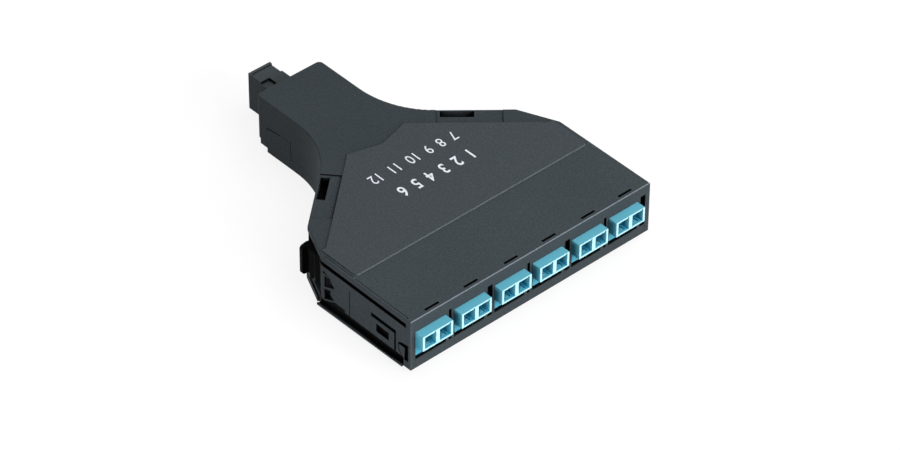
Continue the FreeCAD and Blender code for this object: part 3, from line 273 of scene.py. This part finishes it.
@dataclass(frozen=True)
class MouldedPlastic:
    """Injection-moulded plastic with a spark-eroded grain.

    The mould's eroded surface leaves a fine, even pebble grain that scatters the light, so the
    plastic looks matt. Its edges keep a small radius, with painted highlights or darkening, and
    painted shade darkens its crevices.
    """

    name: str
    colour: str
    shade: str
    roughness: float = 0.5
    roughness_drift: float = 0.04
    # the eroded grain is about 0.1 mm wide; it is drawn coarser, so that it shows from afar
    grain_mm: float = 0.6
    grain_height_mm: float = 0.03
    grain_depth: float = 0.3
    grain_tone: float = 0.1
    # melt flow lines and handling, tens of millimetres across
    flow_mm: float = 28.0
    edge_mm: float = 0.2
    specular: float = 0.3
    # painted shade in the crevices: its strength, its reach, the height it stays below and its colour
    crevice_shade: float = 0.0
    crevice_shade_mm: float = 6.0
    crevice_shade_top: float = DECK - 0.08
    crevice_shade_colour: str = "#020202"
    regions: Tuple[Region, ...] = ()
    # painted highlights along the edges, or darker edges, region by region
    edges: Tuple[Region, ...] = ()

    def toned(self, g: Graph, place: Socket, flow: Socket) -> Socket:
        """Let the colour drift between its two tones and differ in the regions, some of which hold
        painted shade or painted highlights.

        Args:
            g: The material's tree.
            place: The object coordinates.
            flow: The level of the melt flow pattern.

        Returns:
            The colour's output socket.
        """
        drift = g.add("MapRange", {"Value": flow, **NOISE_SPAN})
        colour = g.add("Mix", {"Factor": drift.outputs["Result"], "A": linear(self.shade),
                               "B": linear(self.colour)}, data_type="RGBA").outputs["Result"]
        for region in self.regions:
            colour = g.tint(colour, place, region, region.share)
        return colour

    def speckled(self, g: Graph, colour: Socket, grain: Socket) -> Socket:
        """Let the grain's pebbles stand out a little from their hollows.

        Args:
            g: The material's tree.
            colour: The colour so far.
            grain: The level of the grain.

        Returns:
            The colour's output socket.
        """
        speck = g.add("MapRange", {"Value": grain, **NOISE_SPAN, "To Min": 1 - self.grain_tone,
                                   "To Max": 1 + self.grain_tone})
        mixed = g.add("Mix", {"Factor": 1.0, "A": colour, "B": speck.outputs["Result"]},
                      data_type="RGBA", blend_type="MULTIPLY")
        return mixed.outputs["Result"]

    def crevice_shaded(self, g: Graph, colour: Socket, place: Socket) -> Socket:
        """Paint shade into the slots and crevices, where hardly any light reaches the plastic.

        Args:
            g: The material's tree.
            colour: The colour so far.
            place: The object coordinates.

        Returns:
            The colour's output socket.
        """
        open_sky = g.add("AmbientOcclusion", {"Distance": self.crevice_shade_mm * MM},
                         samples=SKY_SAMPLES, only_local=True)
        shade_share = g.add("MapRange", {"Value": open_sky.outputs["AO"], "From Min": SHADE_STARTS,
                                    "From Max": SHADE_FULL, "To Max": self.crevice_shade})
        shade_below = Region((0, -FAR, -FAR), (FAR, FAR, self.crevice_shade_top), self.crevice_shade_colour,
                       self.crevice_shade, 0.05)
        return g.tint(colour, place, shade_below, shade_share.outputs["Result"])

    def edges_highlighted_or_darkened(self, g: Graph, colour: Socket, place: Socket, soft: Socket) -> Socket:
        """Paint highlights along the edges, or colour them darker, region by region.

        Args:
            g: The material's tree.
            colour: The colour so far.
            place: The object coordinates.
            soft: The normal with its edges rounded.

        Returns:
            The colour's output socket.
        """
        face = g.add("NewGeometry").outputs["Normal"]
        turn = g.add("VectorMath", {0: soft, 1: face}, operation="DOT_PRODUCT").outputs["Value"]
        for region in self.edges:
            edge_share = g.add("MapRange", {"Value": turn, "From Min": EDGE_MASK_STARTS,
                                      "From Max": EDGE_MASK_FULL, "To Max": region.share})
            colour = g.tint(colour, place, region, edge_share.outputs["Result"])
        return colour

    def build(self) -> bpy.types.Material:
        """Build the material from its fields.

        Returns:
            The finished material.
        """
        g = Graph(bpy.data.materials.new(self.name))
        place = g.add("TexCoord").outputs["Object"]
        grain = g.add("TexNoise", {"Vector": place, "Scale": 1 / (self.grain_mm * MM),
                                   "Detail": 2.0, "Roughness": 0.55}).outputs["Fac"]
        flow = g.add("TexNoise", {"Vector": place, "Scale": 1 / (self.flow_mm * MM),
                                  "Detail": 3.0, "Roughness": 0.6}).outputs["Fac"]
        soft = g.add("Bevel", {"Radius": self.edge_mm * MM}, samples=BEVEL_SAMPLES).outputs["Normal"]
        colour = self.speckled(g, self.toned(g, place, flow), grain)
        # painted shade darkens the crevices
        if self.crevice_shade:
            colour = self.crevice_shaded(g, colour, place)
        # painted highlights, or darker colour, along the edges
        if self.edges:
            colour = self.edges_highlighted_or_darkened(g, colour, place, soft)
        gloss = g.add("MapRange", {"Value": flow, **NOISE_SPAN,
                                   "To Min": self.roughness - self.roughness_drift,
                                   "To Max": self.roughness + self.roughness_drift})
        bump = g.add("Bump", {"Strength": self.grain_depth, "Distance": self.grain_height_mm * MM,
                              "Height": grain, "Normal": soft})
        shader = g.add("BsdfPrincipled", {
            "Base Color": colour, "Roughness": gloss.outputs["Result"],
            "Specular IOR Level": self.specular, "Normal": bump.outputs["Normal"]})
        return g.close(shader.outputs["BSDF"])


@dataclass(frozen=True)
class PolishedCeramic:
    """Zirconia, ground and lapped: white, with a glassy polish and hardly any cloudiness."""

    name: str
    colour: str
    shade: str
    cloud_mm: float = 1.5
    roughness: float = 0.12
    ior: float = 2.1

    def build(self) -> bpy.types.Material:
        """Build the material from its fields.

        Returns:
            The finished material.
        """
        g = Graph(bpy.data.materials.new(self.name))
        place = g.add("TexCoord").outputs["Object"]
        cloud = g.add("TexNoise", {"Vector": place, "Scale": 1 / (self.cloud_mm * MM),
                                   "Detail": 2.0})
        tone = g.add("Mix", {"Factor": cloud.outputs["Fac"], "A": linear(self.shade),
                             "B": linear(self.colour)}, data_type="RGBA")
        shader = g.add("BsdfPrincipled", {"Base Color": tone.outputs["Result"],
                                          "Roughness": self.roughness, "IOR": self.ior})
        return g.close(shader.outputs["BSDF"])


@dataclass(frozen=True)
class DrawnSteel:
    """Stainless steel wire cut to length: bright, with fine drawing lines along its length."""

    name: str
    colour: str
    line_mm: float = 0.08
    # the pins stand upright, and a line is twenty times as long as it is wide
    stretch: Place = (1.0, 1.0, 0.05)
    smoothest: float = 0.22
    roughest: float = 0.38

    def build(self) -> bpy.types.Material:
        """Build the material from its fields.

        Returns:
            The finished material.
        """
        g = Graph(bpy.data.materials.new(self.name))
        place = g.add("TexCoord").outputs["Object"]
        drawn = g.add("Mapping", {"Vector": place, "Scale": self.stretch})
        lines = g.add("TexNoise", {"Vector": drawn.outputs["Vector"],
                                   "Scale": 1 / (self.line_mm * MM)})
        rough = g.add("MapRange", {"Value": lines.outputs["Fac"], "To Min": self.smoothest,
                                   "To Max": self.roughest})
        shader = g.add("BsdfPrincipled", {"Base Color": linear(self.colour), "Metallic": 1.0,
                                          "Roughness": rough.outputs["Result"]})
        return g.close(shader.outputs["BSDF"])


@dataclass(frozen=True)
class PadPrint:
    """Pad-printed ink: a thin, even, slightly glossy film with a faint mottle."""

    name: str
    colour: str
    shade: str
    mottle_mm: float = 0.5
    roughness: float = 0.45
    specular: float = 0.3

    def build(self) -> bpy.types.Material:
        """Build the material from its fields.

        Returns:
            The finished material.
        """
        g = Graph(bpy.data.materials.new(self.name))
        place = g.add("TexCoord").outputs["Object"]
        mottle = g.add("TexNoise", {"Vector": place, "Scale": 1 / (self.mottle_mm * MM),
                                    "Detail": 3.0})
        tone = g.add("Mix", {"Factor": mottle.outputs["Fac"], "A": linear(self.shade),
                             "B": linear(self.colour)}, data_type="RGBA")
        shader = g.add("BsdfPrincipled", {"Base Color": tone.outputs["Result"],
                                          "Roughness": self.roughness,
                                          "Specular IOR Level": self.specular})
        return g.close(shader.outputs["BSDF"])


ANYWHERE = ((0.0, -FAR, -FAR), (FAR, FAR, FAR))

# painted shade darkens the grooves and gaps of the sides, the slots in the deck and the inner
# faces of the front windows, and the inside of the tray
GROOVE_SHADE = Region((0, 2.0, BASE), (SIDE - 0.25, CORNER + 0.5, DECK - 1.4), "#040505", 0.95)
DECK_SLOT_SHADE = Region((0, 1.55, 18.0), (SIDE - 0.7, 2.65, UNDER_DECK), "#050607", 0.95, 0.03)
WINDOW_SHADE = Region((0, 0.35, 4.6), (SIDE - 1.2, 3.0, 18.5), "#040505", 0.95, 0.15)
TRAY_INSIDE_SHADE = Region((0, 2.0, 5.5), (SIDE - 0.8, 80, 20), "#030303", 1.0)

# the label panel stands proud and is smoother and paler; painted shade darkens the wings and the neck,
# as the light falls off towards the rear
LABEL_PANEL = Region((0, 0, HALF_RISE), (FAR, FAR, FAR), "#3D4347", 1.0, 0.05)
REAR_SHADE = Region((0, CORNER, 0), (FAR, FAR, HALF_RISE), "#24292C", 0.3, 12.0)

# painted highlights pale the front's rounded top edge, its upright corners and the label panel's
# front edge, and the colour is darker along the neck's top edges
FRONT_EDGE_HIGHLIGHT = Region((0, -0.1, DECK - 0.28), (SIDE - 0.2, 0.2, UNDER_DECK), "#7E8892", 0.6)
FRONT_CORNER_HIGHLIGHT = Region((SIDE - 0.3, -0.1, BASE + 0.6), (SIDE + 0.1, 0.2, DECK - 0.4),
                       "#4E575D", 0.5, 0.15)
LABEL_EDGE_HIGHLIGHT = Region((0, LABEL_FRONT - 0.6, DECK - 0.1), (FAR, LABEL_FRONT + 0.3, FAR),
                    "#858D95", 0.9)
NECK_EDGE_DARKENING = Region((0, 78, 19), (30, FAR, UNDER_DECK), "#101214", 0.7)

# painted shade darkens the adapters' sides towards the housing, and further in, where hardly any
# light gets, and a painted highlight pales the rims of their mouths
ADAPTER_SIDE_SHADE = Region((0, -0.4, 0), (FAR, CORNER, 13.6), "#2A8BA6", 0.6, 2.6)
ADAPTER_DEPTH_SHADE = Region((0, 9, 0), (FAR, CORNER, FAR), "#0A2C36", 0.95, 3.0)
ADAPTER_RIM_HIGHLIGHT = Region((0, -FAR, 0), (FAR, MOUTH + 0.12, FAR), "#B4E4EE", 1.0)

# ABS and polycarbonate blend, charcoal, eroded mould surface: matt and slightly cool; painted shade
# darkens its crevices
CHARCOAL = MouldedPlastic("charcoal_abs_blend", "#3B4246", "#383F43", roughness=0.6,
                          grain_tone=0.2, specular=0.07, crevice_shade=0.97)

FINISHES: Dict[Finish, Union[MouldedPlastic, PolishedCeramic, DrawnSteel, PadPrint]] = {
    Finish.COVER: replace(CHARCOAL, edges=(LABEL_EDGE_HIGHLIGHT, NECK_EDGE_DARKENING), regions=(
        REAR_SHADE, LABEL_PANEL, GROOVE_SHADE, DECK_SLOT_SHADE, WINDOW_SHADE, FRONT_EDGE_HIGHLIGHT, FRONT_CORNER_HIGHLIGHT)),
    # the same blend; painted shade keeps the snap hooks inside as dark as the rest of the inside
    Finish.TRAY: replace(CHARCOAL, name="charcoal_abs_blend_tray",
                         regions=(REAR_SHADE, GROOVE_SHADE, WINDOW_SHADE, TRAY_INSIDE_SHADE)),
    # acetal, black, smoother so that the sliding parts run: satin; painted highlights pale its edges
    Finish.LEVER: MouldedPlastic(
        "black_acetal", "#0A0B0C", "#070808", roughness=0.4, specular=0.03,
        edges=(Region(*ANYWHERE, "#2E3032", 0.25),)),
    # polybutylene, black, glass filled: satin with a slight sheen; painted highlights pale its edges
    # and painted shade darkens its crevices
    Finish.REAR_ADAPTER: MouldedPlastic(
        "black_polybutylene", "#42484B", "#3E4447", specular=0.03, crevice_shade=0.95,
        edges=(Region(*ANYWHERE, "#5E6468", 0.4),)),
    # polybutylene in the aqua of laser-optimised multimode fibre, polished mould: clean and
    # satin; painted highlights pale its edges, and painted shade darkens its ports
    Finish.ADAPTER: MouldedPlastic(
        "aqua_polybutylene", "#62AFC4", "#5DAABF", roughness=0.42, grain_mm=0.5, grain_depth=0.08,
        grain_tone=0.03, specular=0.12, crevice_shade=0.9, crevice_shade_mm=4.0, crevice_shade_colour="#27A0C2",
        regions=(ADAPTER_SIDE_SHADE, ADAPTER_DEPTH_SHADE, ADAPTER_RIM_HIGHLIGHT),
        edges=(Region(*ANYWHERE, "#A9DCE8", 0.4),)),
    # polyetherimide, filled pale, smooth mould: cream with a low sheen
    Finish.PLUG_BODY: MouldedPlastic("natural_polyetherimide", "#CFC8B4", "#C6BEA8",
                                     roughness=0.35),
    # the adapters' plastic on the rear plug's shell: aqua and satin
    Finish.REAR_PLUG: MouldedPlastic("aqua_push_on_plug", "#65B5C9", "#60B0C4", roughness=0.36),
    # polyphenylene sulphide, glass filled, moulded very finely: dull, warm black
    Finish.FERRULE_BLOCK: MouldedPlastic("polyphenylene_sulphide", "#26241F", "#201E1A",
                                         roughness=0.45, grain_mm=0.3),
    # the fibres' extruded jacket: aqua, smooth and satin
    Finish.JACKET: MouldedPlastic("aqua_fibre_jacket", "#5FB4C4", "#57A9BA", roughness=0.4),
    Finish.ZIRCONIA: PolishedCeramic("zirconia", "#F2F1EC", "#E4E3DC"),
    Finish.PIN: DrawnSteel("stainless_pin", "#B9BBBE"),
    Finish.LEGEND: PadPrint("white_pad_print", "#DDDFE8", "#D2D4DD"),
}


class Dresser:
    """Builds each finish once and puts it on the pieces."""

    def __init__(self) -> None:
        """Start with nothing built."""
        self.built: Dict[Finish, bpy.types.Material] = {}

    def material(self, finish: Finish) -> bpy.types.Material:
        """Find the material of a finish, and build it the first time.

        Args:
            finish: The finish.

        Returns:
            Its material.
        """
        if finish not in self.built:
            self.built[finish] = FINISHES[finish].build()
        return self.built[finish]

    def dress(self, piece: bpy.types.Object, finish: Finish) -> None:
        """Give a piece one finish all over.

        Args:
            piece: The object to dress.
            finish: Its finish.
        """
        if not piece.material_slots:
            piece.data.materials.append(self.material(finish))
        for place in piece.material_slots:
            place.material = self.material(finish)
        LOG.info("dressed %s", piece.name)


# ---------------------------------------------------------------- sub-assemblies

@dataclass
class Housing:
    """The two-part charcoal housing: top cover and base tray."""

    dresser: Dresser
    shells: Tuple[Tuple[str, Finish], ...] = (
        ("top_cover", Finish.COVER), ("base_tray", Finish.TRAY))

    def build(self) -> None:
        """Dress the two shells."""
        for name, finish in self.shells:
            self.dresser.dress(NODES[name], finish)


@dataclass
class AdapterRow:
    """The six duplex adapters with what plugs into them from inside."""

    dresser: Dresser
    count: int = 6
    pieces: Tuple[Tuple[str, Finish], ...] = (
        ("lc_adapter", Finish.ADAPTER), ("split_sleeves", Finish.ZIRCONIA),
        ("inner_plugs", Finish.PLUG_BODY), ("ferrules", Finish.ZIRCONIA),
        ("fibres", Finish.JACKET))

    def build(self) -> None:
        """Dress the adapters, sleeves, inner plugs, ferrules and fibres."""
        for number in range(1, self.count + 1):
            for stem, finish in self.pieces:
                self.dresser.dress(NODES["%s_%d" % (stem, number)], finish)


@dataclass
class RearLink:
    """The fan-out block, the trunk tube and the adapter in the neck with its inner plug."""

    dresser: Dresser
    pieces: Tuple[Tuple[str, Finish], ...] = (
        ("fanout_block", Finish.LEVER), ("trunk_tube", Finish.JACKET),
        ("mpo_adapter", Finish.REAR_ADAPTER), ("mpo_plug", Finish.REAR_PLUG),
        ("mt_ferrule", Finish.FERRULE_BLOCK))

    def build(self) -> None:
        """Dress the pieces of the rear link."""
        for name, finish in self.pieces:
            self.dresser.dress(NODES[name], finish)


@dataclass
class ReleaseLevers:
    """The two sprung levers in the rear corners and the pins they turn on."""

    dresser: Dresser
    pieces: Tuple[Tuple[str, Finish], ...] = (
        ("release_lever", Finish.LEVER), ("lever_pin", Finish.PIN))

    def build(self) -> None:
        """Dress the levers and pins."""
        for side in ("left", "right"):
            for stem, finish in self.pieces:
                self.dresser.dress(NODES["%s_%s" % (stem, side)], finish)


@dataclass(frozen=True)
class PrintedRow:
    """One row of plain numbers: its text, its middle, its size in mm and how bold it is."""

    text: str
    across: float
    along: float
    width: float
    height: float
    bold: float = 0.0


@dataclass
class PortLegend:
    """The plain port numbers, pad-printed on the label panel and read from the neck's side."""

    dresser: Dresser
    rows: Tuple[PrintedRow, ...] = (
        PrintedRow("1  2  3  4  5  6", 2.9, 49.5, 31.0, 5.2, 0.015),
        PrintedRow("7  8  9  10  11  12", 2.5, 60.2, 37.0, 4.4))
    film_mm: float = 0.02
    # the share of the film's thickness that is keyed into the panel
    keyed: float = 0.25
    curve_steps: int = 6

    def outline(self, row: PrintedRow, name: str) -> bpy.types.Object:
        """Set a row's text as a solid mesh, in any size.

        Args:
            row: The row.
            name: The new piece's name.

        Returns:
            The text as a mesh.
        """
        deselect()
        bpy.ops.object.text_add()
        piece = bpy.context.object
        piece.name = name
        piece.data.body = row.text
        piece.data.offset = row.bold
        piece.data.resolution_u = self.curve_steps
        piece.data.extrude = 0.5
        bpy.ops.object.convert(target="MESH")
        return piece

    def lay(self, piece: bpy.types.Object, row: PrintedRow) -> None:
        """Bring a row to its size and lay it on the label panel, its foot towards the neck.

        Args:
            piece: The text as a mesh.
            row: The row.
        """
        corners = [[pick(v.co[axis] for v in piece.data.vertices) for axis in range(3)]
                   for pick in (min, max)]
        low, high = (Vector(corner) for corner in corners)
        span = high - low
        film = self.film_mm * MM
        size = Matrix.Diagonal((row.width * MM / span.x, row.height * MM / span.y,
                                film / span.z, 1.0))
        place = Matrix.Translation((row.across * MM, row.along * MM,
                                    CAD_BOX[1][2] + film * (0.5 - self.keyed)))
        piece.data.transform(place @ Matrix.Rotation(math.pi, 4, "Z") @ size
                             @ Matrix.Translation(-(low + high) / 2))

    def build(self) -> None:
        """Print the rows and let them ride on the housing."""
        for number, row in enumerate(self.rows, 1):
            piece = self.outline(row, "port_numbers_%d" % number)
            self.lay(piece, row)
            self.dresser.dress(piece, Finish.LEGEND)
            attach(piece, Body.HOUSING.value)


# ---------------------------------------------------------------- studio

@dataclass(frozen=True)
class Lamp:
    """A square soft lamp, with its angles in degrees and its distance and size in metres."""

    name: str
    azimuth: float
    elevation: float
    distance: float
    size: float
    watts: float
    target: Place = (0.0, 0.05, 0.01)

    def build(self) -> None:
        """Hang the lamp and aim it at its target."""
        back = direction(self.azimuth, self.elevation)
        lamp = bpy.data.lights.new(self.name + "_lamp", "AREA")
        lamp.shape = "SQUARE"
        lamp.size = self.size
        lamp.energy = self.watts
        holder = bpy.data.objects.new(self.name + "_lamp", lamp)
        bpy.context.scene.collection.objects.link(holder)
        holder.location = Vector(self.target) + back * self.distance
        holder.rotation_euler = back.to_track_quat("Z", "Y").to_euler()
        holder.visible_camera = False


@dataclass
class Studio:
    """A plain pale floor with a white ground and soft lamps."""

    floor_size: float = 6.0
    floor_drop_mm: float = 0.2
    floor_glow: float = 0.85
    world_level: float = 0.12
    lamps: Tuple[Lamp, ...] = (
        Lamp("key", 45.0, 66.0, 1.3, 0.9, 6.6),
        Lamp("front", 8.0, 22.0, 1.4, 0.9, 22.5),
        Lamp("back", 178.0, 30.0, 1.4, 0.9, 8.0),
        Lamp("side", 95.0, 45.0, 0.45, 0.3, 0.5),
        Lamp("corner", -66.0, 9.0, 0.24, 0.12, 0.38, (CAD_BOX[0][0], 0.015, 0.012)))

    def floor(self) -> None:
        """Lay a floor that is white where seen or mirrored and keeps the object's soft shadow."""
        deselect()
        bpy.ops.mesh.primitive_plane_add(size=self.floor_size,
                                         location=(0, 0, -self.floor_drop_mm * MM))
        plane = bpy.context.object
        plane.name = "floor"
        g = Graph(bpy.data.materials.new("matt_white_floor"))
        path = g.add("LightPath")
        seen = g.add("Math", {0: path.outputs["Is Camera Ray"], 1: path.outputs["Is Glossy Ray"]},
                     operation="MAXIMUM")
        sheet = g.add("Mix", {"Factor": seen.outputs["Value"], "A": linear("#868686"),
                              "B": linear("#FFFFFF")}, data_type="RGBA")
        paint = g.add("BsdfDiffuse", {"Color": sheet.outputs["Result"]})
        glow = g.add("Emission", {"Color": linear("#FFFFFF"), "Strength": 1.0})
        share = g.add("Math", {0: seen.outputs["Value"], 1: self.floor_glow}, operation="MULTIPLY")
        mix = g.add("MixShader", {"Fac": share.outputs["Value"], 1: paint.outputs["BSDF"],
                                  2: glow.outputs["Emission"]})
        plane.data.materials.append(g.close(mix.outputs["Shader"]))

    def world(self) -> None:
        """Make an even pale surround that is white where the camera sees it."""
        world = bpy.data.worlds.new("pale_surround")
        bpy.context.scene.world = world
        g = Graph(world)
        path = g.add("LightPath")
        level = g.add("MapRange", {"Value": path.outputs["Is Camera Ray"],
                                   "To Min": self.world_level, "To Max": 1.0})
        ground = g.add("Background", {"Color": linear("#FFFFFF"),
                                      "Strength": level.outputs["Result"]})
        g.add("OutputWorld", {"Surface": ground.outputs["Background"]})

    def build(self) -> None:
        """Set the floor, the surround and the lamps."""
        self.floor()
        self.world()
        for lamp in self.lamps:
            lamp.build()
        bpy.context.scene.view_settings.view_transform = "Standard"
        LOG.info("studio set")


@dataclass
class Viewpoint:
    """The camera, looking down on the front left corner from far off."""

    azimuth: float = -41.825
    elevation: float = 39.664
    roll: float = 0.154
    distance: float = 1.355
    target: Place = (0.0, 0.0495, 0.0115)
    sensor_mm: float = 36.0
    lens_mm: float = 165.84
    shift: Tuple[float, float] = (0.02298, -0.02586)
    clip: Tuple[float, float] = (0.01, 50.0)

    def build(self) -> None:
        """Place the camera and make it the scene's."""
        a, r = math.radians(self.azimuth), math.radians(self.roll)
        back = direction(self.azimuth, self.elevation)
        level = Vector((math.cos(a), math.sin(a), 0.0))
        rise = back.cross(level)
        right = level * math.cos(r) + rise * math.sin(r)
        up = rise * math.cos(r) - level * math.sin(r)
        camera = bpy.data.cameras.new("camera")
        camera.sensor_fit = "HORIZONTAL"
        camera.sensor_width = self.sensor_mm
        camera.lens = self.lens_mm
        camera.shift_x, camera.shift_y = self.shift
        camera.clip_start, camera.clip_end = self.clip
        holder = bpy.data.objects.new("camera", camera)
        bpy.context.scene.collection.objects.link(holder)
        turn = Matrix((right, up, back)).transposed().to_4x4()
        holder.matrix_world = Matrix.Translation(Vector(self.target) + back * self.distance) @ turn
        bpy.context.scene.camera = holder
        LOG.info("camera set")


def main() -> None:
    """Build the scene in order."""
    Viewpoint().build()
    dresser = Dresser()
    for part in (Housing(dresser), AdapterRow(dresser), RearLink(dresser), ReleaseLevers(dresser),
                 PortLegend(dresser)):
        part.build()
    Studio().build()


if __name__ == "__main__":
    main()
